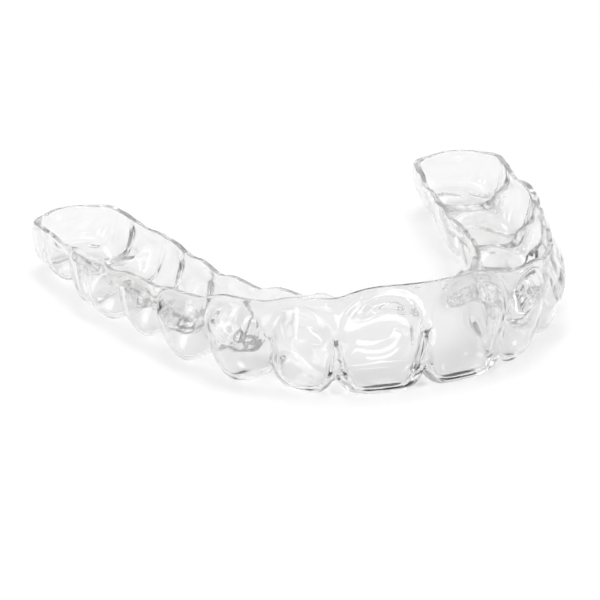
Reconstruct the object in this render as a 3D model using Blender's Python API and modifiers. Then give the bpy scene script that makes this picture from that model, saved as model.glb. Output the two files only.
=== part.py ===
"""Clear aligner for the upper teeth: one thin shell, thermoformed over a row of fourteen crowns.

The shell lies as it rests on a table, with the biting edges down and the open gum side up. X runs
across the mouth, -Y is the front, and the arms run back along +Y. The origin is on the table, below
the middle of the shell's box. All sizes are in millimetres until the mesh is made.
"""

import math
from collections import namedtuple

import bpy
import numpy as np

MM = 0.001

# Sheet and trimming
FILM = 0.7                 # wall after forming
RIM_EASE = 0.12            # chamfer that polishing leaves on both edges of the rim
EASED_ANGLE = 60.0         # edges sharper than this many degrees are the rim's
REST_FLAT = 0.15           # depth to which the lowest points are flat
SCALLOP = 0.35             # how far the trim line dips between two teeth
SCALLOP_REACH = 1.6        # half the length of such a dip

# Centre line of the arch, one Bezier curve from the midline to the last molar
ARCH_HALF_WIDTH = 24.6
ARCH_DEPTH = 46.9
FRONT_REACH = 16.8         # length of the handle at the midline
ARM_REACH = 40.0           # length of the handle at the last molar
ARM_FLARE = 9.8            # degrees by which the arms open towards the back
ARCH_SPARE = 14.0          # straight run past the last molar
ARCH_SAMPLES = 3000
ARCH_NUDGE = 0.25          # step over which its direction is taken

# Rounding that the draped film keeps
CONTACT_ROUND = 0.25       # in the folds where a crown meets its neighbour or the gum
LINGUAL_ROUND = 1.0        # in the same folds on the lingual side, where they are shallow
LINGUAL_REACH = 3.0        # distance from the centre line over which the folds ease to that
CORNER_ROUND = 0.9         # where a crown's sides turn into its biting edge
WEB_ROUND = 1.2            # along the foot of the web between two crowns

# Crowns close at the neck: seen from the cheek they end in an arch, which stands out from the gum
SHOULDER = 0.3             # share of the height at which the arch starts
ARCH_POWER = 2.8           # squareness of the arch
LEDGE_POWER = 8.0          # squareness of the crown's depth, which closes late and leaves a ledge
TINY = 1e-9                # keeps the powers finite at the crown's middle

# Profiles run from the tip to the gum and are the ordinates of a Bezier curve. Buccal and lingual
# ones give the distance from the centre line, waist ones the share of half the tooth's width. Taper
# is the share of the width that is lost on the lingual side, and groove the depth of the two folds.
Tooth = namedtuple(
    "Tooth", "width height buccal lingual waist squareness taper rim_buccal rim_lingual groove"
)
TEETH = {
    "central_incisor": Tooth(
        width=9.3, height=12.5, buccal=(1.2, 2.6, 3.4, 3.7, 3.3), lingual=(1.1, 1.8, 4.3, 6.5, 6.2),
        waist=(0.92, 1.09, 1.17, 1.14, 1.08), squareness=2.6, taper=0.21,
        rim_buccal=12.9, rim_lingual=8.7, groove=0.0,
    ),
    "lateral_incisor": Tooth(
        width=6.6, height=11.3, buccal=(1.0, 2.4, 3.2, 3.6, 3.1), lingual=(1.0, 1.8, 4.2, 6.3, 6.0),
        waist=(0.84, 1.12, 1.20, 1.14, 1.06), squareness=2.5, taper=0.21,
        rim_buccal=11.5, rim_lingual=8.7, groove=0.0,
    ),
    "canine": Tooth(
        width=7.3, height=10.4, buccal=(2.2, 3.6, 4.4, 4.8, 4.2), lingual=(0.6, 2.2, 4.8, 6.2, 5.8),
        waist=(0.70, 1.10, 1.22, 1.14, 1.02), squareness=2.4, taper=0.21,
        rim_buccal=10.1, rim_lingual=8.4, groove=0.0,
    ),
    "first_premolar": Tooth(
        width=7.3, height=8.8, buccal=(2.9, 4.3, 5.1, 5.3, 4.9), lingual=(3.2, 4.4, 5.2, 5.4, 5.0),
        waist=(0.80, 1.10, 1.19, 1.14, 1.04), squareness=2.6, taper=0.21,
        rim_buccal=8.4, rim_lingual=7.6, groove=0.0,
    ),
    "second_premolar": Tooth(
        width=6.9, height=8.2, buccal=(2.9, 4.4, 5.2, 5.4, 5.0), lingual=(3.4, 4.6, 5.4, 5.6, 5.2),
        waist=(0.80, 1.10, 1.19, 1.14, 1.04), squareness=2.6, taper=0.21,
        rim_buccal=7.8, rim_lingual=7.0, groove=0.0,
    ),
    "first_molar": Tooth(
        width=10.4, height=7.9, buccal=(4.0, 5.2, 5.8, 5.9, 5.6), lingual=(4.2, 5.4, 6.3, 6.5, 6.2),
        waist=(0.84, 1.04, 1.10, 1.08, 1.03), squareness=2.9, taper=0.09,
        rim_buccal=7.1, rim_lingual=6.6, groove=0.55,
    ),
    "second_molar": Tooth(
        width=9.6, height=7.6, buccal=(3.4, 4.5, 5.0, 5.1, 4.9), lingual=(4.0, 5.2, 6.1, 6.3, 6.0),
        waist=(0.82, 0.98, 1.02, 1.01, 0.98), squareness=2.9, taper=0.09,
        rim_buccal=6.5, rim_lingual=6.4, groove=0.45,
    ),
}
MIDLINE_RIM = (12.7, 8.6)      # buccal and lingual trim heights at the midline
DISTAL_RIM = (6.0, 6.35)       # and behind the last molar

# Cusps by their place, as shares of half the width and of the profile, and the height of the tip
Cusp = namedtuple("Cusp", "along across tip")
CUSPS = {
    "first_premolar": (Cusp(0.0, 0.62, 0.0), Cusp(-0.1, -0.58, 0.9)),
    "second_premolar": (Cusp(0.0, 0.60, 0.3), Cusp(-0.1, -0.58, 0.6)),
    "first_molar": (
        Cusp(-0.48, 0.60, 0.1), Cusp(0.44, 0.56, 0.4), Cusp(-0.36, -0.56, 0.2), Cusp(0.50, -0.56, 1.0),
    ),
    "second_molar": (
        Cusp(-0.46, 0.60, 0.9), Cusp(0.42, 0.54, 1.4), Cusp(-0.34, -0.56, 0.6), Cusp(0.46, -0.54, 1.9),
    ),
}
CUSP_SLOPE = 0.62
CUSP_BLUNT = 1.0
CUSP_BLEND = 0.35
FOSSA_DEPTH = 2.05             # height of the chewing face's hollow above the tips
FOSSA_BLEND = 0.6
GROOVE_HALF_WIDTH = 0.8
GROOVE_PLACES = (0.2, 0.8)     # behind the crown's middle, on the buccal and the lingual side
GROOVE_END = 1.15              # share of the height at which the folds have run out

# Biting edges of the front teeth: corners lift off the edge by rise, the outer one by tilt more
Edge = namedtuple("Edge", "lift rise power tilt")
EDGES = {
    "central_incisor": Edge(lift=0.0, rise=1.3, power=5.0, tilt=0.15),
    "lateral_incisor": Edge(lift=0.15, rise=1.5, power=3.5, tilt=0.3),
}
CANINE_SLOPES = (0.36, 0.46)   # of the biting edge before and behind the tip
CANINE_BLUNT = 0.4
CANINE_TIP_SHIFT = 0.5         # distance of the tip behind the crown's middle

# Web between neighbours: notch is its height above the tips, the rest are half thicknesses, and
# above papilla it widens to the gum that the rim clasps
Contact = namedtuple("Contact", "notch web_buccal web_lingual gum_buccal gum_lingual papilla")
CONTACTS = (
    Contact(1.5, 0.8, 1.7, 2.2, 5.6, 6.6),
    Contact(1.4, 0.8, 1.9, 2.0, 5.4, 6.3),
    Contact(2.6, 1.0, 2.5, 2.4, 5.0, 6.0),
    Contact(2.6, 1.7, 2.7, 3.3, 4.5, 5.2),
    Contact(2.4, 2.1, 2.9, 3.9, 4.5, 5.0),
    Contact(2.2, 2.4, 3.2, 4.7, 5.2, 4.8),
    Contact(2.9, 2.5, 3.4, 4.8, 5.5, 4.8),
    Contact(3.0, 2.9, 3.2, 4.2, 5.3, 4.8),
)
PAPILLA_BAND = 2.0             # height over which the web widens
SPINE_END = 0.52               # share of the last molar past the point where the sections fan out

# Mesh
STATIONS = (8, 7, 7, 7, 7, 9, 9)   # sections per tooth
ROWS = 11                      # faces from the rim to the spine
SPINE_CROWDING = 1.35          # above one, the rows draw together towards the spine
BUNCHING = 0.65                # share by which the sections draw together at the contacts
LEAST_SPACING = 1 / 3          # of the last two sections, as a share of the usual spacing
FAN = 9                        # sections round the back of the last molar
RAYS = 96                      # sampled directions per section
RAY_TOP = 1.0                  # height of the rays' centre above the highest rim
RAY_SWEEP = 96.0               # degrees from straight down
RAY_START = 1.0
RAY_REACH = 15.0
RAY_STEP = 0.5
HALVINGS = 14
FAR = 9.0                      # field value well away from a crown
NEARBY = 4.5                   # reach of a crown's field past its own width


def bezier(ordinates, t):
    """Value of a Bezier curve with these ordinates at t, held at its ends."""
    t = np.clip(t, 0, 1)
    degree = len(ordinates) - 1
    return sum(
        math.comb(degree, k) * value * t ** k * (1 - t) ** (degree - k)
        for k, value in enumerate(ordinates)
    )


def eased(places, values, s):
    """Values at places joined by curves that are level at each place."""
    places = np.asarray(places, float)
    values = np.asarray(values, float)
    s = np.clip(s, places[0], places[-1])
    i = np.clip(np.searchsorted(places, s, side="right") - 1, 0, len(places) - 2)
    u = (s - places[i]) / (places[i + 1] - places[i])
    u = u * u * (3 - 2 * u)
    return values[i] * (1 - u) + values[i + 1] * u


def union(a, b, radius):
    """Union of two solids' fields with a fillet."""
    h = np.clip(0.5 + 0.5 * (b - a) / radius, 0, 1)
    return b + (a - b) * h - radius * h * (1 - h)


def common(a, b, radius):
    """Intersection of two solids' fields with a rounded edge."""
    return -union(-a, -b, radius)


def arch_table():
    """Arc lengths and points of the centre line, with the straight run past its end."""
    flare = math.radians(ARM_FLARE)
    along_arm = np.array([math.sin(flare), math.cos(flare)])
    end = np.array([ARCH_HALF_WIDTH, ARCH_DEPTH])
    t = np.linspace(0, 1, ARCH_SAMPLES + 1)[:, None]
    points = (
        3 * t * (1 - t) ** 2 * np.array([FRONT_REACH, 0.0])
        + 3 * t * t * (1 - t) * (end - ARM_REACH * along_arm)
        + t ** 3 * end
    )
    points = np.vstack([points, end + ARCH_SPARE * along_arm])
    lengths = np.hypot(*np.diff(points, axis=0).T)
    return np.concatenate([[0], np.cumsum(lengths)]), points


ARC, ARC_POINTS = arch_table()
WIDTHS = np.array([tooth.width for tooth in TEETH.values()])
BORDERS = np.concatenate([[0], np.cumsum(WIDTHS)])
CENTRES = BORDERS[:-1] + WIDTHS / 2
SPINE_LENGTH = BORDERS[-1] - SPINE_END * WIDTHS[-1]


def arch_frames(s):
    """Points of the centre line at arc lengths s, with the directions backwards and outwards."""
    def at(q):
        x = np.interp(np.abs(q), ARC, ARC_POINTS[:, 0]) * np.sign(q)
        return np.stack([x, np.interp(np.abs(q), ARC, ARC_POINTS[:, 1])], -1)

    s = np.asarray(s, float)
    back = at(s + ARCH_NUDGE) - at(s - ARCH_NUDGE)
    back /= np.linalg.norm(back, axis=-1, keepdims=True)
    outward = np.stack([back[..., 1], -back[..., 0]], -1)
    return at(s), back, outward


def biting_face(name, tooth, m, b):
    """Height of the tooth's biting or chewing face at m along the arch and b across it."""
    half = tooth.width / 2
    if name in EDGES:
        edge = EDGES[name]
        return edge.lift + edge.rise * np.abs(m / half) ** edge.power + edge.tilt * m / half
    if name not in CUSPS:
        m = m - CANINE_TIP_SHIFT
        slope = np.where(m < 0, *CANINE_SLOPES)
        return slope * (np.sqrt(m ** 2 + CANINE_BLUNT ** 2) - CANINE_BLUNT)
    height = np.full(m.shape, FOSSA_DEPTH)
    for cusp in CUSPS[name]:
        reach = tooth.buccal[2] if cusp.across > 0 else tooth.lingual[2]
        away = (m - cusp.along * half) ** 2 + (b - cusp.across * reach) ** 2
        cone = cusp.tip + CUSP_SLOPE * (np.sqrt(away + CUSP_BLUNT ** 2) - CUSP_BLUNT)
        height = union(height, cone, FOSSA_BLEND if cusp is CUSPS[name][0] else CUSP_BLEND)
    return height


def crown(name, centre, points):
    """Field of one crown, below zero inside it."""
    tooth = TEETH[name]
    origin, back, outward = arch_frames(centre)
    m = (points[:, :2] - origin) @ back
    b = (points[:, :2] - origin) @ outward
    z = points[:, 2]
    t = z / tooth.height
    groove = tooth.groove * np.clip(GROOVE_END - t, 0, 1)
    buccal, lingual = (
        bezier(profile, t) - groove * np.exp(-((m - place) / GROOVE_HALF_WIDTH) ** 2)
        for profile, place in zip((tooth.buccal, tooth.lingual), GROOVE_PLACES)
    )
    half = bezier(tooth.waist, t) * tooth.width / 2
    half = half * (1 - tooth.taper * np.clip(-b / tooth.lingual[-1], 0, 1))
    depth = (buccal + lingual) / 2
    n = tooth.squareness
    neck = np.clip((t - SHOULDER) / (1 - SHOULDER), 0, None)
    along = (np.abs(m / half) ** ARCH_POWER + neck ** ARCH_POWER + TINY) ** (n / ARCH_POWER)
    across = (np.abs((b - (buccal - lingual) / 2) / depth) ** LEDGE_POWER + neck ** LEDGE_POWER + TINY)
    share = (along + across ** (n / LEDGE_POWER) - neck ** n) ** (1 / n)
    side = (share - 1) * np.minimum(half, depth)
    return common(side, biting_face(name, tooth, m, b) - z, CORNER_ROUND)


def gum(s, across, buccal_share, z):
    """Field of the gum and of the webs between the crowns."""
    contacts = np.array(CONTACTS)
    notch, web_b, web_l, gum_b, gum_l, papilla = (
        eased(BORDERS, contacts[:, k], s) for k in range(contacts.shape[1])
    )
    up = np.clip((z - papilla) / PAPILLA_BAND + 0.5, 0, 1)
    up = up * up * (3 - 2 * up)
    half_b = web_b + (gum_b - web_b) * up
    half_l = web_l + (gum_l - web_l) * up
    half = half_b * buccal_share + half_l * (1 - buccal_share)
    return common(np.abs(across) - half, notch - z, WEB_ROUND)


def field(s, across, buccal_share, points):
    """Field of the whole form that the film is draped over."""
    ease = (1 - buccal_share) * np.clip(across / LINGUAL_REACH, 0, 1)
    fold = CONTACT_ROUND + (LINGUAL_ROUND - CONTACT_ROUND) * ease
    result = gum(s, across, buccal_share, points[:, 2])
    for k, (name, centre) in enumerate(zip(TEETH, CENTRES)):
        near = np.abs(s - centre) < WIDTHS[k] / 2 + NEARBY
        value = np.full(s.shape, FAR)
        value[near] = crown(name, centre, points[near])
        if k == 0:
            twin = crown(name, centre, points[near] * np.array([-1, 1, 1]))
            value[near] = np.minimum(value[near], twin)
        result = union(result, value, fold)
    return result


def stations():
    """Arc lengths of the sections, closer together near the contacts between teeth."""
    places = [0.0]
    for start, width, count in zip(BORDERS, WIDTHS, STATIONS):
        even = np.arange(1, count + 1) / count
        bunched = (1 - np.cos(math.pi * even)) / 2
        places += list(start + width * (BUNCHING * bunched + (1 - BUNCHING) * even))
    spacing = WIDTHS[-1] / STATIONS[-1]
    places = [s for s in places if s < SPINE_LENGTH - spacing * LEAST_SPACING]
    return np.array(places + [SPINE_LENGTH])


def rim_heights(s):
    """Buccal and lingual heights of the trim line at arc lengths s."""
    places = np.concatenate([[0], CENTRES, BORDERS[-1:]])
    heights = []
    for side, key in enumerate(("rim_buccal", "rim_lingual")):
        teeth = [getattr(tooth, key) for tooth in TEETH.values()]
        heights.append(eased(places, [MIDLINE_RIM[side], *teeth, DISTAL_RIM[side]], s))
    dip = np.zeros(len(s))
    for border in BORDERS[1:-1]:
        dip += SCALLOP * np.exp(-((s - border) / SCALLOP_REACH) ** 2)
    return heights[0] - dip, heights[1] - dip


def section_planes():
    """Half planes that the sections lie in, from the midline round the back and home again.

    Each has its arc length, its foot on the centre line, its direction, its share of the buccal
    side and its rim height.
    """
    s = stations()
    feet, back, outward = arch_frames(s)
    buccal_rim, lingual_rim = rim_heights(s)
    planes = [(s[i], feet[i], outward[i], 1.0, buccal_rim[i]) for i in range(len(s))]
    for k in range(1, FAN):
        angle = math.pi * k / FAN
        share = (1 + math.cos(angle)) / 2
        direction = math.cos(angle) * outward[-1] + math.sin(angle) * back[-1]
        rim = buccal_rim[-1] * share + lingual_rim[-1] * (1 - share)
        planes.append((s[-1], feet[-1], direction, share, rim))
    planes += [(s[i], feet[i], -outward[i], 0.0, lingual_rim[i]) for i in reversed(range(len(s)))]
    return len(s), planes


def outer_sections():
    """Points of the outer surface, one row of ROWS + 1 per half plane, from the rim down."""
    count, planes = section_planes()
    s, share, rim = (np.array([plane[k] for plane in planes]) for k in (0, 3, 4))
    feet = np.array([plane[1] for plane in planes])
    direction = np.array([plane[2] for plane in planes])
    angles = np.linspace(0, math.radians(RAY_SWEEP), RAYS)
    top = rim.max() + RAY_TOP
    shape = (len(planes), RAYS)

    def sample(radius):
        reach = radius * np.sin(angles)
        points = np.empty(shape + (3,))
        points[..., :2] = feet[:, None] + reach[..., None] * direction[:, None]
        points[..., 2] = top - radius * np.cos(angles)
        spread = [np.repeat(values, RAYS) for values in (s, share)]
        values = field(spread[0], reach.ravel(), spread[1], points.reshape(-1, 3))
        return values.reshape(shape), points

    inside = np.zeros(shape)
    outside = np.full(shape, RAY_REACH)
    open_rays = np.ones(shape, bool)
    for radius in np.arange(RAY_START, RAY_REACH, RAY_STEP):
        values, _ = sample(np.full(shape, radius))
        leaving = open_rays & (values > 0)
        outside[leaving] = radius
        open_rays &= ~leaving
        inside[open_rays] = radius
    for _ in range(HALVINGS):
        middle = (inside + outside) / 2
        values, _ = sample(middle)
        inside = np.where(values <= 0, middle, inside)
        outside = np.where(values <= 0, outside, middle)
    _, points = sample((inside + outside) / 2)
    return count, [trimmed(line[::-1], height) for line, height in zip(points, rim)]


def trimmed(line, height):
    """A section cut off at the rim and divided along its length."""
    first = int(np.argmax(line[:, 2] <= height))
    if first:
        above, below = line[first - 1], line[first]
        cut = above + (height - above[2]) / (below[2] - above[2]) * (below - above)
        line = np.vstack([cut, line[first:]])
    run = np.concatenate([[0], np.cumsum(np.linalg.norm(np.diff(line, axis=0), axis=1))])
    places = run[-1] * (1 - np.linspace(1, 0, ROWS + 1) ** SPINE_CROWDING)
    return np.stack([np.interp(places, run, line[:, k]) for k in range(3)], -1)


def outer_mesh():
    """Vertices and faces of the outer surface's half at +X, open at the midline and at the rim."""
    count, sections = outer_sections()
    columns = len(sections)
    points = [point for section in sections for point in section[:-1]]
    points += [section[-1] for section in sections[:count]]
    spine = columns * ROWS

    def index(column, row):
        if row < ROWS:
            return column * ROWS + row
        return spine + min(column, count - 1, columns - 1 - column) if column < columns else spine

    faces = []
    for column in range(columns - 1):
        for row in range(ROWS):
            ring = [
                index(column, row), index(column, row + 1),
                index(column + 1, row + 1), index(column + 1, row),
            ]
            faces.append([corner for k, corner in enumerate(ring) if corner != ring[k - 1]])
    points = np.array(points)
    points[:, 1] -= (points[:, 1].min() + points[:, 1].max()) / 2
    points[:, 2] = np.maximum(points[:, 2] - REST_FLAT, 0)
    for column in (0, columns - 1):
        for row in range(ROWS + 1):
            points[index(column, row), 0] = 0.0
    return points, faces


def clear_film():
    material = bpy.data.materials.new("clear_film")
    material.use_nodes = True
    shader = material.node_tree.nodes["Principled BSDF"]
    shader.inputs["Base Color"].default_value = (0.96, 0.97, 0.98, 1.0)
    shader.inputs["Metallic"].default_value = 0.0
    shader.inputs["Roughness"].default_value = 0.04
    shader.inputs["IOR"].default_value = 1.52
    shader.inputs["Transmission Weight"].default_value = 1.0
    return material


def main():
    for thing in list(bpy.data.objects):
        bpy.data.objects.remove(thing)
    points, faces = outer_mesh()
    mesh = bpy.data.meshes.new("aligner_shell")
    mesh.from_pydata([tuple(point) for point in points * MM], [], faces)
    mesh.validate()
    shell = bpy.data.objects.new("aligner_shell", mesh)
    shell.data.materials.append(clear_film())

    collection = bpy.data.collections.new("clear_aligner")
    bpy.context.scene.collection.children.link(collection)
    collection.objects.link(shell)

    mirror = shell.modifiers.new("other_half", "MIRROR")
    mirror.use_axis = (True, False, False)
    mirror.use_clip = True
    mirror.merge_threshold = 0.00001
    wall = shell.modifiers.new("film", "SOLIDIFY")
    wall.thickness = FILM * MM
    wall.offset = -1.0
    wall.use_even_offset = True
    wall.use_quality_normals = True
    ease = shell.modifiers.new("polished_rim", "BEVEL")
    ease.width = RIM_EASE * MM
    ease.segments = 1
    ease.limit_method = "ANGLE"
    ease.angle_limit = math.radians(EASED_ANGLE)
    mesh.shade_smooth()


main()
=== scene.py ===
"""Looks of the clear aligner: the film's fine surface and finish, the pale floor, the light, the camera.

X runs across the mouth, -Y is the front, and Z is up from the floor. Sizes of the film are in
millimetres until its mesh is made. Those of the room and its lights are in metres.
"""

import math
from collections import namedtuple

import bpy
import numpy as np
from mathutils import Matrix, Vector


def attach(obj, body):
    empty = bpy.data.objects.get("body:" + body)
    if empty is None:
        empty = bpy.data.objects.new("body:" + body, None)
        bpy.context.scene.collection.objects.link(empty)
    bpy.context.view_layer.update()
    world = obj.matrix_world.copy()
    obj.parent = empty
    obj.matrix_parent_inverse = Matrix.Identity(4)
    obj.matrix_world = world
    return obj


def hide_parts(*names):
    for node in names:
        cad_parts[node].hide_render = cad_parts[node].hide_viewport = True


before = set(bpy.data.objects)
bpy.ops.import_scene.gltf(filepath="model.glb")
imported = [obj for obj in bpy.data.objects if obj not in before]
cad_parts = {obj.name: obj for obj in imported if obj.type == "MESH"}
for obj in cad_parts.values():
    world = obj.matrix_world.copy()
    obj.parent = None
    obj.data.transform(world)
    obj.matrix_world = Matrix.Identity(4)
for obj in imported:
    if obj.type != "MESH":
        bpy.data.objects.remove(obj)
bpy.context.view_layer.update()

MM = 0.001

# The film's look
VISUAL_FILM = 0.5          # wall where forming drew it thin, which sets the width of its lines
INNER_ROUND = 0.1          # in the folds of the inner side, which copies the crowns sharply
RIM_ROUND = 0.1            # round that polishing leaves on both edges of the rim
RIM_SEGMENTS = 3
LOSS_PER_MM = 0.02         # light lost along a millimetre of film, seen where it is looked at edge on
FILM_TINT = "#F7F7F7"
FILM_ROUGHNESS = 0.03      # glassy, as the sheet is before forming
FILM_INDEX = 1.45          # of refraction, below the sheet's usual 1.57 and matched to the photograph
WAVE_SPACING = 6.0         # of the faint waves that cooling leaves
WAVE_HEIGHT = 0.02
WAVE_DETAIL = 2.0
ARCH_MIDDLE = 21.1601      # from the front of the centre line back to the middle of the shell's box
SNUG = 0.9995              # keeps the fine surface inside the box of the plainer shell
MERGE = 0.01               # the two halves join where their points lie closer than this

# Floor and room, in metres and in shares of full light
FLOOR_SIZE = 3.0
TABLE_WHITE = "#F4F4F4"
TABLE_ROUGHNESS = 0.9
TABLE_GLOSS = 0.1
FOOT = 0.04                # light of the room's foot, which gives the film its thin dark lines
TOP = 0.95                 # light of its ceiling
ROOM_STOPS = ((0.2, 0.04), (0.3, 0.6), (0.45, 0.85))   # heights and lights in between
ROOM_LEVEL = 0.9
ROOM_LEAN = 0.3            # by which the dark foot stands higher on the left than on the right
FILM_BOUNCES = 40          # light runs a long way inside the film before it leaves at an edge

# Soft lights, in metres and watts, all turned to the shell
Softbox = namedtuple("Softbox", "name place width height power")
SOFTBOXES = (
    Softbox("key", (0.06, 0.1, 1.2), 0.6, 0.6, 4.3),
    Softbox("left_strip", (-0.5, -0.08, 0.2), 0.12, 0.4, 0.55),
    Softbox("left_front_strip", (-0.46, -0.36, 0.22), 0.09, 0.44, 0.6),
    Softbox("right_strip", (0.5, -0.35, 0.2), 0.08, 0.3, 0.45),
    Softbox("front_bar", (-0.06, -0.6, 0.2), 0.3, 0.035, 0.3),
)

# Camera, matched to the photograph's view, in degrees and millimetres. Clipping is in metres.
AZIMUTH = -22.543
ELEVATION = 23.559
ROLL = 0.526
DISTANCE = 500.7
TARGET = (-7.874, -6.778, 5.05)
LENS = 279.4
SENSOR = 36.0
NEAR = 0.01
FAR_AWAY = 20

# Trimming
REST_FLAT = 0.15           # depth to which the lowest points are flat
SCALLOP = 0.35             # how far the trim line dips between two teeth
SCALLOP_REACH = 1.6        # half the length of such a dip

# Centre line of the arch, one smooth curve from the midline to the last molar
ARCH_HALF_WIDTH = 24.6
ARCH_DEPTH = 46.9
FRONT_REACH = 16.8         # length of the handle at the midline
ARM_REACH = 40.0           # length of the handle at the last molar
ARM_FLARE = 9.8            # degrees by which the arms open towards the back
ARCH_SPARE = 14.0          # straight run past the last molar
ARCH_SAMPLES = 3000
ARCH_NUDGE = 0.25          # step over which its direction is taken

# Rounding that the draped film keeps
CONTACT_ROUND = 0.18       # in the folds where a crown meets its neighbour or the gum
LINGUAL_ROUNDS = (2.2, 0.4)  # in the same folds on the lingual side, at the front and the back
LINGUAL_PLACES = (12.0, 22.0)   # arc lengths where the front ends and the back starts
LINGUAL_REACH = 3.0        # distance from the centre line over which the folds ease to that
CORNER_ROUND = 0.9         # where a crown's sides turn into its biting edge
WEB_ROUND = 1.2            # along the foot of the web between two crowns

# Crowns close at the neck: seen from the cheek they end in an arch, which stands out from the gum
SHOULDER = 0.3             # share of the height at which the arch starts
ARCH_POWER = 2.8           # squareness of the arch
LEDGE_POWER = 8.0          # squareness of the crown's depth, which closes late and leaves a ledge
TINY = 1e-9                # keeps the powers finite at the crown's middle

# Profiles run from the tip to the gum and are the values that pull a smooth curve. Buccal and
# lingual ones give the distance from the centre line, waist ones the share of half the tooth's
# width. Taper is the share of the width that is lost on the lingual side, and groove the depth of
# the two folds.
Tooth = namedtuple(
    "Tooth", "width height buccal lingual waist squareness taper rim_buccal rim_lingual groove"
)
TEETH = {
    "central_incisor": Tooth(
        width=9.3, height=12.5, buccal=(1.2, 2.6, 3.4, 3.7, 3.3), lingual=(1.1, 1.8, 4.3, 6.5, 6.2),
        waist=(0.92, 1.09, 1.17, 1.14, 1.08), squareness=2.6, taper=0.21,
        rim_buccal=12.82, rim_lingual=8.7, groove=0.0,
    ),
    "lateral_incisor": Tooth(
        width=6.6, height=10.4, buccal=(1.0, 2.4, 3.2, 3.6, 3.1), lingual=(1.0, 1.8, 4.2, 6.3, 6.0),
        waist=(0.84, 1.12, 1.20, 1.14, 1.06), squareness=2.5, taper=0.21,
        rim_buccal=11.5, rim_lingual=8.7, groove=0.0,
    ),
    "canine": Tooth(
        width=7.3, height=9.2, buccal=(2.2, 3.6, 4.4, 4.8, 4.2), lingual=(0.6, 2.2, 4.8, 6.2, 5.8),
        waist=(0.70, 1.10, 1.22, 1.14, 1.02), squareness=2.4, taper=0.21,
        rim_buccal=10.1, rim_lingual=8.4, groove=0.0,
    ),
    "first_premolar": Tooth(
        width=7.3, height=7.9, buccal=(2.9, 4.3, 5.1, 5.3, 4.9), lingual=(3.2, 4.4, 5.2, 5.4, 5.0),
        waist=(0.80, 1.10, 1.19, 1.14, 1.04), squareness=2.6, taper=0.21,
        rim_buccal=8.4, rim_lingual=7.6, groove=0.0,
    ),
    "second_premolar": Tooth(
        width=6.9, height=7.3, buccal=(2.9, 4.4, 5.2, 5.4, 5.0), lingual=(3.4, 4.6, 5.4, 5.6, 5.2),
        waist=(0.80, 1.10, 1.19, 1.14, 1.04), squareness=2.6, taper=0.21,
        rim_buccal=7.8, rim_lingual=7.0, groove=0.0,
    ),
    "first_molar": Tooth(
        width=10.4, height=7.9, buccal=(4.0, 5.2, 5.8, 5.9, 5.6), lingual=(4.2, 5.4, 6.3, 6.5, 6.2),
        waist=(0.84, 1.04, 1.10, 1.08, 1.03), squareness=2.9, taper=0.09,
        rim_buccal=7.1, rim_lingual=6.6, groove=0.55,
    ),
    "second_molar": Tooth(
        width=9.6, height=7.6, buccal=(3.4, 4.5, 5.0, 5.1, 4.9), lingual=(4.0, 5.2, 6.1, 6.3, 6.0),
        waist=(0.82, 0.98, 1.02, 1.01, 0.98), squareness=2.9, taper=0.09,
        rim_buccal=6.5, rim_lingual=6.4, groove=0.45,
    ),
}
MIDLINE_RIM = (12.7, 8.6)      # buccal and lingual trim heights at the midline
DISTAL_RIM = (6.0, 6.35)       # and behind the last molar

# Cusps by their place, as shares of half the width and of the profile, and the height of the tip
Cusp = namedtuple("Cusp", "along across tip")
CUSPS = {
    "first_premolar": (Cusp(0.0, 0.62, 0.0), Cusp(-0.1, -0.58, 0.9)),
    "second_premolar": (Cusp(0.0, 0.60, 0.3), Cusp(-0.1, -0.58, 0.6)),
    "first_molar": (
        Cusp(-0.48, 0.60, 0.1), Cusp(0.44, 0.56, 0.4), Cusp(-0.36, -0.56, 0.2), Cusp(0.50, -0.56, 1.0),
    ),
    "second_molar": (
        Cusp(-0.46, 0.60, 0.9), Cusp(0.42, 0.54, 1.4), Cusp(-0.34, -0.56, 0.6), Cusp(0.46, -0.54, 1.9),
    ),
}
CUSP_SLOPE = 0.62
CUSP_BLUNT = 1.0               # reach over which a cusp's tip is rounded
CUSP_BLEND = 0.35              # round between two cusps
FOSSA_DEPTH = 2.05             # height of the chewing face's hollow above the tips
FOSSA_BLEND = 0.6              # and between the hollow and the first cusp
GROOVE_HALF_WIDTH = 0.8
GROOVE_PLACES = (0.2, 0.8)     # behind the crown's middle, on the buccal and the lingual side
GROOVE_END = 1.15              # share of the height at which the folds have run out

# Biting edges of the front teeth: corners lift off the edge by rise, the outer one by tilt more
Edge = namedtuple("Edge", "lift rise power tilt")
EDGES = {
    "central_incisor": Edge(lift=0.0, rise=1.3, power=5.0, tilt=0.15),
    "lateral_incisor": Edge(lift=0.15, rise=1.5, power=3.5, tilt=0.3),
}
CANINE_SLOPES = (0.36, 0.46)   # of the biting edge before and behind the tip
CANINE_BLUNT = 0.4
CANINE_TIP_SHIFT = 0.5         # distance of the tip behind the crown's middle

# Web between neighbours: notch is its height above the tips, the rest are half thicknesses, and
# above papilla it widens to the gum that the rim clasps
Contact = namedtuple("Contact", "notch web_buccal web_lingual gum_buccal gum_lingual papilla")
CONTACTS = (
    Contact(1.5, 0.8, 1.7, 2.2, 5.6, 6.6),
    Contact(1.4, 0.8, 1.9, 2.0, 5.4, 6.3),
    Contact(2.6, 1.0, 3.5, 2.4, 5.4, 6.0),
    Contact(2.6, 1.7, 3.8, 3.3, 5.1, 5.2),
    Contact(2.4, 2.1, 4.0, 3.9, 5.1, 5.0),
    Contact(2.2, 2.4, 4.4, 4.7, 5.8, 4.8),
    Contact(2.9, 2.5, 4.6, 4.8, 6.1, 4.8),
    Contact(3.0, 2.9, 2.0, 4.2, 4.55, 4.8),
)
PAPILLA_BAND = 2.0             # height over which the web widens
SPINE_END = 0.52               # share of the last molar past the point where the sections fan out

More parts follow.
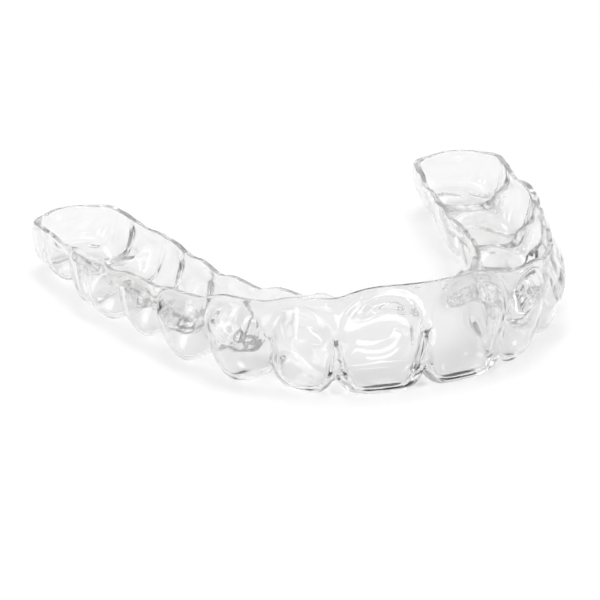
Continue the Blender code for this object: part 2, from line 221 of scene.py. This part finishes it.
# Mesh
STATIONS = (26, 24, 24, 22, 22, 28, 26)   # sections per tooth
ROWS = 44                      # faces from the rim to the spine
SPINE_CROWDING = 1.35          # above one, the rows draw together towards the spine
BUNCHING = 0.65                # share by which the sections draw together at the contacts
LEAST_SPACING = 1 / 3          # of the last two sections, as a share of the usual spacing
FAN = 24                       # sections round the back of the last molar
RAYS = 320                     # sampled directions per section
RAY_TOP = 1.0                  # height of the rays' centre above the highest rim
RAY_SWEEP = 96.0               # degrees from straight down
RAY_START = 1.0                # where the search along a ray starts
RAY_REACH = 15.0               # and where it ends
RAY_STEP = 0.5
HALVINGS = 14                  # of the last step, to find the surface in it
FAR = 9.0                      # field value well away from a crown
NEARBY = 4.5                   # reach of a crown's field past its own width


def pulled_curve(pulls, t):
    """Value at t of the smooth curve that these values pull, held at its ends."""
    t = np.clip(t, 0, 1)
    degree = len(pulls) - 1
    return sum(
        math.comb(degree, k) * pull * t ** k * (1 - t) ** (degree - k)
        for k, pull in enumerate(pulls)
    )


def level_ends(u):
    """Zero to one, as u runs from zero to one, by a curve that is level at both ends."""
    return u * u * (3 - 2 * u)


def eased(places, values, s):
    """Values at places joined by curves that are level at each place."""
    places = np.asarray(places, float)
    values = np.asarray(values, float)
    s = np.clip(s, places[0], places[-1])
    i = np.clip(np.searchsorted(places, s, side="right") - 1, 0, len(places) - 2)
    u = level_ends((s - places[i]) / (places[i + 1] - places[i]))
    return values[i] * (1 - u) + values[i + 1] * u


def union(a, b, radius):
    """Union of two solids' fields with a fillet."""
    h = np.clip(0.5 + 0.5 * (b - a) / radius, 0, 1)
    return b + (a - b) * h - radius * h * (1 - h)


def common(a, b, radius):
    """Intersection of two solids' fields with a rounded edge."""
    return -union(-a, -b, radius)


def arch_table():
    """Arc lengths and points of the centre line, with the straight run past its end."""
    flare = math.radians(ARM_FLARE)
    along_arm = np.array([math.sin(flare), math.cos(flare)])
    end = np.array([ARCH_HALF_WIDTH, ARCH_DEPTH])
    t = np.linspace(0, 1, ARCH_SAMPLES + 1)[:, None]
    points = (
        3 * t * (1 - t) ** 2 * np.array([FRONT_REACH, 0.0])
        + 3 * t * t * (1 - t) * (end - ARM_REACH * along_arm)
        + t ** 3 * end
    )
    points = np.vstack([points, end + ARCH_SPARE * along_arm])
    lengths = np.hypot(*np.diff(points, axis=0).T)
    return np.concatenate([[0], np.cumsum(lengths)]), points


ARC, ARC_POINTS = arch_table()
WIDTHS = np.array([tooth.width for tooth in TEETH.values()])
BORDERS = np.concatenate([[0], np.cumsum(WIDTHS)])
CENTRES = BORDERS[:-1] + WIDTHS / 2
SPINE_LENGTH = BORDERS[-1] - SPINE_END * WIDTHS[-1]


def arch_frames(s):
    """Points of the centre line at arc lengths s, with the directions backwards and outwards."""
    def at(q):
        """Points at arc lengths q, mirrored before the midline."""
        x = np.interp(np.abs(q), ARC, ARC_POINTS[:, 0]) * np.sign(q)
        return np.stack([x, np.interp(np.abs(q), ARC, ARC_POINTS[:, 1])], -1)

    s = np.asarray(s, float)
    back = at(s + ARCH_NUDGE) - at(s - ARCH_NUDGE)
    back /= np.linalg.norm(back, axis=-1, keepdims=True)
    outward = np.stack([back[..., 1], -back[..., 0]], -1)
    return at(s), back, outward


def biting_face(name, tooth, m, b):
    """Height of the tooth's biting or chewing face at m along the arch and b across it."""
    half = tooth.width / 2
    if name in EDGES:
        edge = EDGES[name]
        return edge.lift + edge.rise * np.abs(m / half) ** edge.power + edge.tilt * m / half
    if name not in CUSPS:
        m = m - CANINE_TIP_SHIFT
        slope = np.where(m < 0, *CANINE_SLOPES)
        return slope * (np.sqrt(m ** 2 + CANINE_BLUNT ** 2) - CANINE_BLUNT)
    height = np.full(m.shape, FOSSA_DEPTH)
    for cusp in CUSPS[name]:
        reach = tooth.buccal[2] if cusp.across > 0 else tooth.lingual[2]
        away = (m - cusp.along * half) ** 2 + (b - cusp.across * reach) ** 2
        cone = cusp.tip + CUSP_SLOPE * (np.sqrt(away + CUSP_BLUNT ** 2) - CUSP_BLUNT)
        height = union(height, cone, FOSSA_BLEND if cusp is CUSPS[name][0] else CUSP_BLEND)
    return height


def crown(name, centre, points):
    """Field of one crown, below zero inside it."""
    tooth = TEETH[name]
    origin, back, outward = arch_frames(centre)
    m = (points[:, :2] - origin) @ back
    b = (points[:, :2] - origin) @ outward
    z = points[:, 2]
    t = z / tooth.height
    groove = tooth.groove * np.clip(GROOVE_END - t, 0, 1)
    buccal, lingual = (
        pulled_curve(profile, t) - groove * np.exp(-((m - place) / GROOVE_HALF_WIDTH) ** 2)
        for profile, place in zip((tooth.buccal, tooth.lingual), GROOVE_PLACES)
    )
    half = pulled_curve(tooth.waist, t) * tooth.width / 2
    half = half * (1 - tooth.taper * np.clip(-b / tooth.lingual[-1], 0, 1))
    depth = (buccal + lingual) / 2
    n = tooth.squareness
    neck = np.clip((t - SHOULDER) / (1 - SHOULDER), 0, None)
    off_middle = (b - (buccal - lingual) / 2) / depth
    along = np.abs(m / half) ** ARCH_POWER + neck ** ARCH_POWER + TINY
    across = np.abs(off_middle) ** LEDGE_POWER + neck ** LEDGE_POWER + TINY
    share = (along ** (n / ARCH_POWER) + across ** (n / LEDGE_POWER) - neck ** n) ** (1 / n)
    side = (share - 1) * np.minimum(half, depth)
    return common(side, biting_face(name, tooth, m, b) - z, CORNER_ROUND)


def gum(s, across, buccal_share, z):
    """Field of the gum and of the webs between the crowns."""
    contacts = np.array(CONTACTS)
    notch, web_b, web_l, gum_b, gum_l, papilla = (
        eased(BORDERS, contacts[:, k], s) for k in range(contacts.shape[1])
    )
    up = level_ends(np.clip((z - papilla) / PAPILLA_BAND + 0.5, 0, 1))
    half_b = web_b + (gum_b - web_b) * up
    half_l = web_l + (gum_l - web_l) * up
    half = half_b * buccal_share + half_l * (1 - buccal_share)
    return common(np.abs(across) - half, notch - z, WEB_ROUND)


def field(s, across, buccal_share, points, depth, crease):
    """Field of the form that lies depth below the film's outer side, with folds rounded by crease."""
    ease = (1 - buccal_share) * np.clip(across / LINGUAL_REACH, 0, 1)
    lingual = eased(LINGUAL_PLACES, LINGUAL_ROUNDS, s)
    fold = crease + (lingual - crease) * ease
    result = gum(s, across, buccal_share, points[:, 2]) + depth
    for k, (name, centre) in enumerate(zip(TEETH, CENTRES)):
        near = np.abs(s - centre) < WIDTHS[k] / 2 + NEARBY
        value = np.full(s.shape, FAR)
        value[near] = crown(name, centre, points[near])
        if k == 0:
            twin = crown(name, centre, points[near] * np.array([-1, 1, 1]))
            value[near] = np.minimum(value[near], twin)
        result = union(result, value + depth, fold)
    return result


def stations():
    """Arc lengths of the sections, closer together near the contacts between teeth."""
    places = [0.0]
    for start, width, count in zip(BORDERS, WIDTHS, STATIONS):
        even = np.arange(1, count + 1) / count
        bunched = (1 - np.cos(math.pi * even)) / 2
        places += list(start + width * (BUNCHING * bunched + (1 - BUNCHING) * even))
    spacing = WIDTHS[-1] / STATIONS[-1]
    places = [s for s in places if s < SPINE_LENGTH - spacing * LEAST_SPACING]
    return np.array(places + [SPINE_LENGTH])


def rim_heights(s):
    """Buccal and lingual heights of the trim line at arc lengths s."""
    places = np.concatenate([[0], CENTRES, BORDERS[-1:]])
    heights = []
    for side, key in enumerate(("rim_buccal", "rim_lingual")):
        teeth = [getattr(tooth, key) for tooth in TEETH.values()]
        heights.append(eased(places, [MIDLINE_RIM[side], *teeth, DISTAL_RIM[side]], s))
    dip = np.zeros(len(s))
    for border in BORDERS[1:-1]:
        dip += SCALLOP * np.exp(-((s - border) / SCALLOP_REACH) ** 2)
    return heights[0] - dip, heights[1] - dip


def section_planes():
    """Half planes that the sections lie in, from the midline round the back and home again.

    Each has its arc length, its foot on the centre line, its direction, its share of the buccal
    side and its rim height.
    """
    s = stations()
    feet, back, outward = arch_frames(s)
    buccal_rim, lingual_rim = rim_heights(s)
    planes = [(s[i], feet[i], outward[i], 1.0, buccal_rim[i]) for i in range(len(s))]
    for k in range(1, FAN):
        angle = math.pi * k / FAN
        share = (1 + math.cos(angle)) / 2
        direction = math.cos(angle) * outward[-1] + math.sin(angle) * back[-1]
        rim = buccal_rim[-1] * share + lingual_rim[-1] * (1 - share)
        planes.append((s[-1], feet[-1], direction, share, rim))
    planes += [(s[i], feet[i], -outward[i], 0.0, lingual_rim[i]) for i in reversed(range(len(s)))]
    return len(s), planes


def wall_sections(depth, crease):
    """Points of one side of the film, one row of ROWS + 1 per half plane, from the rim down."""
    count, planes = section_planes()
    s, share, rim = (np.array([plane[k] for plane in planes]) for k in (0, 3, 4))
    feet = np.array([plane[1] for plane in planes])
    direction = np.array([plane[2] for plane in planes])
    angles = np.linspace(0, math.radians(RAY_SWEEP), RAYS)
    top = rim.max() + RAY_TOP
    shape = (len(planes), RAYS)

    def sample(radius):
        """Field and points at these distances along all the rays."""
        reach = radius * np.sin(angles)
        points = np.empty(shape + (3,))
        points[..., :2] = feet[:, None] + reach[..., None] * direction[:, None]
        points[..., 2] = top - radius * np.cos(angles)
        spread = [np.repeat(values, RAYS) for values in (s, share)]
        values = field(spread[0], reach.ravel(), spread[1], points.reshape(-1, 3), depth, crease)
        return values.reshape(shape), points

    inside = np.zeros(shape)
    outside = np.full(shape, RAY_REACH)
    open_rays = np.ones(shape, bool)
    for radius in np.arange(RAY_START, RAY_REACH, RAY_STEP):
        values, _ = sample(np.full(shape, radius))
        leaving = open_rays & (values > 0)
        outside[leaving] = radius
        open_rays &= ~leaving
        inside[open_rays] = radius
    for _ in range(HALVINGS):
        middle = (inside + outside) / 2
        values, _ = sample(middle)
        inside = np.where(values <= 0, middle, inside)
        outside = np.where(values <= 0, outside, middle)
    _, points = sample((inside + outside) / 2)
    return count, [trimmed(line[::-1], height) for line, height in zip(points, rim)]


def trimmed(line, height):
    """A section cut off at the rim and divided along its length."""
    first = int(np.argmax(line[:, 2] <= height))
    if first:
        above, below = line[first - 1], line[first]
        cut = above + (height - above[2]) / (below[2] - above[2]) * (below - above)
        line = np.vstack([cut, line[first:]])
    run = np.concatenate([[0], np.cumsum(np.linalg.norm(np.diff(line, axis=0), axis=1))])
    places = run[-1] * (1 - np.linspace(1, 0, ROWS + 1) ** SPINE_CROWDING)
    return np.stack([np.interp(places, run, line[:, k]) for k in range(3)], -1)


def wall_mesh(depth, crease):
    """Vertices and faces of one side's half at +X, open at the midline and at the rim."""
    count, sections = wall_sections(depth, crease)
    columns = len(sections)
    points = [point for section in sections for point in section[:-1]]
    points += [section[-1] for section in sections[:count]]
    spine = columns * ROWS

    def index(column, row):
        """Number of a point. Both sides of a section end at one point of the spine."""
        if row < ROWS:
            return column * ROWS + row
        return spine + min(column, count - 1, columns - 1 - column)

    faces = []
    for column in range(columns - 1):
        for row in range(ROWS):
            ring = [
                index(column, row), index(column, row + 1),
                index(column + 1, row + 1), index(column + 1, row),
            ]
            faces.append([corner for k, corner in enumerate(ring) if corner != ring[k - 1]])
    points = np.array(points)
    points[:, 1] -= ARCH_MIDDLE
    points[:, 2] = np.maximum(points[:, 2] - REST_FLAT, depth)
    points *= SNUG
    for column in (0, columns - 1):
        for row in range(ROWS + 1):
            points[index(column, row), 0] = 0.0
    return points, faces


def linear(colour):
    """sRGB hex as linear red, green, blue and an alpha of one."""
    channels = [int(colour[k:k + 2], 16) / 255 for k in (1, 3, 5)]
    return tuple(c / 12.92 if c <= 0.04045 else ((c + 0.055) / 1.055) ** 2.4 for c in channels) + (1.0,)


def grey(level):
    """A grey of this linear level with an alpha of one."""
    return (level, level, level, 1.0)


def add_node(tree, kind, values=None, links=None, **settings):
    """One node with its settings, its input values and the sockets linked to its inputs."""
    node = tree.nodes.new(kind)
    for name, value in settings.items():
        setattr(node, name, value)
    for name, value in (values or {}).items():
        node.inputs[name].default_value = value
    for name, socket in (links or {}).items():
        tree.links.new(socket, node.inputs[name])
    return node


def new_material(name):
    """An empty material and its node tree."""
    material = bpy.data.materials.new(name)
    material.use_nodes = True
    material.node_tree.nodes.clear()
    return material, material.node_tree


def formed_copolyester():
    """Clear glycol copolyester sheet, thermoformed: glassy, with faint waves where the film drew thin.

    It is nearly colourless flat on, and greyer where one looks along the film, at rims and folds.
    """
    material, tree = new_material("thermoformed_copolyester")
    place = add_node(tree, "ShaderNodeTexCoord").outputs["Object"]
    waves = add_node(
        tree, "ShaderNodeTexNoise",
        {"Scale": 1 / (WAVE_SPACING * MM), "Detail": WAVE_DETAIL, "Roughness": 0.5},
        {"Vector": place},
    )
    bump = add_node(
        tree, "ShaderNodeBump", {"Strength": 1.0, "Distance": WAVE_HEIGHT * MM},
        {"Height": waves.outputs["Fac"]},
    )
    shader = add_node(
        tree, "ShaderNodeBsdfPrincipled",
        {
            "Base Color": linear(FILM_TINT), "Roughness": FILM_ROUGHNESS, "IOR": FILM_INDEX,
            "Transmission Weight": 1.0,
        },
        {"Normal": bump.outputs["Normal"]},
    )
    loss = add_node(
        tree, "ShaderNodeVolumeAbsorption", {"Color": linear("#000000"), "Density": LOSS_PER_MM / MM},
    )
    add_node(
        tree, "ShaderNodeOutputMaterial",
        links={"Surface": shader.outputs["BSDF"], "Volume": loss.outputs["Volume"]},
    )
    return material


def white_table():
    """Matt white laminate sweep: no gloss, so that only the shell's soft shadow shows on it."""
    material, tree = new_material("matt_white_laminate")
    shader = add_node(
        tree, "ShaderNodeBsdfPrincipled",
        {
            "Base Color": linear(TABLE_WHITE), "Roughness": TABLE_ROUGHNESS,
            "Specular IOR Level": TABLE_GLOSS,
        },
    )
    add_node(tree, "ShaderNodeOutputMaterial", links={"Surface": shader.outputs["BSDF"]})
    return material


def rim_loop(faces):
    """Pairs of neighbours along the rim, in the order in which the outer wall's faces run."""
    pairs = []
    for face in faces:
        if len(face) == 4 and face[0] % ROWS == 0 and face[3] % ROWS == 0 and face[3] - face[0] == ROWS:
            pairs.append((face[3], face[0]))
    return pairs


def film_shell():
    """The film at its fine surface: both walls of the half at +X, mirrored, with a polished rim.

    The inner wall copies the crowns and has crisp folds. The outer wall bridges them a little.
    """
    outer, faces = wall_mesh(0.0, CONTACT_ROUND)
    inner, _ = wall_mesh(VISUAL_FILM, INNER_ROUND)
    count = len(outer)
    rim = rim_loop(faces)
    mesh = bpy.data.meshes.new("aligner_film")
    mesh.from_pydata(
        [tuple(point) for point in np.vstack([outer, inner]) * MM], [],
        faces + [[count + i for i in reversed(face)] for face in faces]
        + [[b, a, count + a, count + b] for a, b in rim],
    )
    mesh.validate()
    weights = mesh.attributes.new("bevel_weight_edge", "FLOAT", "EDGE")
    rim_edges = {tuple(sorted((a + side, b + side))) for a, b in rim for side in (0, count)}
    for edge in mesh.edges:
        if tuple(sorted(edge.vertices)) in rim_edges:
            weights.data[edge.index].value = 1.0
    shell = bpy.data.objects.new("aligner_film", mesh)
    bpy.context.scene.collection.objects.link(shell)
    bpy.ops.object.select_all(action="DESELECT")
    bpy.context.view_layer.objects.active = shell
    shell.select_set(True)
    mirror = shell.modifiers.new("other_half", "MIRROR")
    mirror.use_axis = (True, False, False)
    mirror.use_clip = True
    mirror.merge_threshold = MERGE * MM
    ease = shell.modifiers.new("polished_rim", "BEVEL")
    ease.width = RIM_ROUND * MM
    ease.segments = RIM_SEGMENTS
    ease.limit_method = "WEIGHT"
    for modifier in list(shell.modifiers):
        bpy.ops.object.modifier_apply(modifier=modifier.name)
    bpy.ops.object.shade_smooth()
    shell.data.materials.append(formed_copolyester())
    return shell


def sweep():
    """The pale floor, a wide sheet under the shell."""
    bpy.ops.object.select_all(action="DESELECT")
    bpy.ops.mesh.primitive_plane_add(size=FLOOR_SIZE)
    floor = bpy.context.object
    floor.name = "floor"
    floor.data.materials.append(white_table())
    return floor


def photo_camera():
    """The camera, turned round the shell by its azimuth, then raised, then rolled."""
    azimuth, elevation, roll = (math.radians(a) for a in (AZIMUTH, ELEVATION, ROLL))
    back = Vector((
        math.sin(azimuth) * math.cos(elevation),
        -math.cos(azimuth) * math.cos(elevation),
        math.sin(elevation),
    ))
    right = Vector((math.cos(azimuth), math.sin(azimuth), 0.0))
    up = back.cross(right)
    across = math.cos(roll) * right + math.sin(roll) * up
    upward = -math.sin(roll) * right + math.cos(roll) * up
    data = bpy.data.cameras.new("camera")
    data.lens = LENS
    data.sensor_width = SENSOR
    data.clip_start = NEAR
    data.clip_end = FAR_AWAY
    camera = bpy.data.objects.new("camera", data)
    camera.matrix_world = Matrix((
        (across.x, upward.x, back.x, 0),
        (across.y, upward.y, back.y, 0),
        (across.z, upward.z, back.z, 0),
        (0, 0, 0, 1),
    ))
    camera.location = Vector(TARGET) * MM + back * DISTANCE * MM
    bpy.context.scene.collection.objects.link(camera)
    bpy.context.scene.camera = camera


def light_from(box):
    """A rectangular soft light that looks at the shell and is hidden from the camera."""
    data = bpy.data.lights.new(box.name, "AREA")
    data.shape = "RECTANGLE"
    data.size = box.width
    data.size_y = box.height
    data.energy = box.power
    lamp = bpy.data.objects.new(box.name, data)
    lamp.location = box.place
    lamp.rotation_euler = Vector(box.place).to_track_quat("Z", "Y").to_euler()
    lamp.visible_camera = False
    bpy.context.scene.collection.objects.link(lamp)


def room():
    """The pale room round the table. Its foot is dark, and higher on the left, for thin dark lines."""
    world = bpy.data.worlds.new("studio")
    bpy.context.scene.world = world
    world.use_nodes = True
    tree = world.node_tree
    tree.nodes.clear()
    direction = add_node(tree, "ShaderNodeTexCoord").outputs["Generated"]
    parts = add_node(tree, "ShaderNodeSeparateXYZ", links={"Vector": direction})
    height = add_node(
        tree, "ShaderNodeMath", {1: ROOM_LEAN}, {0: parts.outputs["X"], 2: parts.outputs["Z"]},
        operation="MULTIPLY_ADD",
    )
    ramp = add_node(tree, "ShaderNodeValToRGB", links={"Fac": height.outputs["Value"]})
    stops = ramp.color_ramp.elements
    stops[0].position = 0.0
    stops[0].color = grey(FOOT)
    stops[1].position = 1.0
    stops[1].color = grey(TOP)
    for place, level in ROOM_STOPS:
        stops.new(place).color = grey(level)
    glow = add_node(
        tree, "ShaderNodeBackground", {"Strength": ROOM_LEVEL}, {"Color": ramp.outputs["Color"]},
    )
    add_node(tree, "ShaderNodeOutputWorld", links={"Surface": glow.outputs["Background"]})


def let_light_run():
    """Lets light run its whole way through the film, and keeps its bright patches sharp."""
    paths = bpy.context.scene.cycles
    paths.max_bounces = FILM_BOUNCES
    paths.transmission_bounces = FILM_BOUNCES
    paths.glossy_bounces = FILM_BOUNCES
    paths.blur_glossy = 0.0


shell = film_shell()
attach(shell, "root")
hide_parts("aligner_shell")
sweep()
photo_camera()
room()
for box in SOFTBOXES:
    light_from(box)
let_light_run()
bpy.context.scene.view_settings.view_transform = "Standard"
bpy.context.scene.view_settings.exposure = 0.0
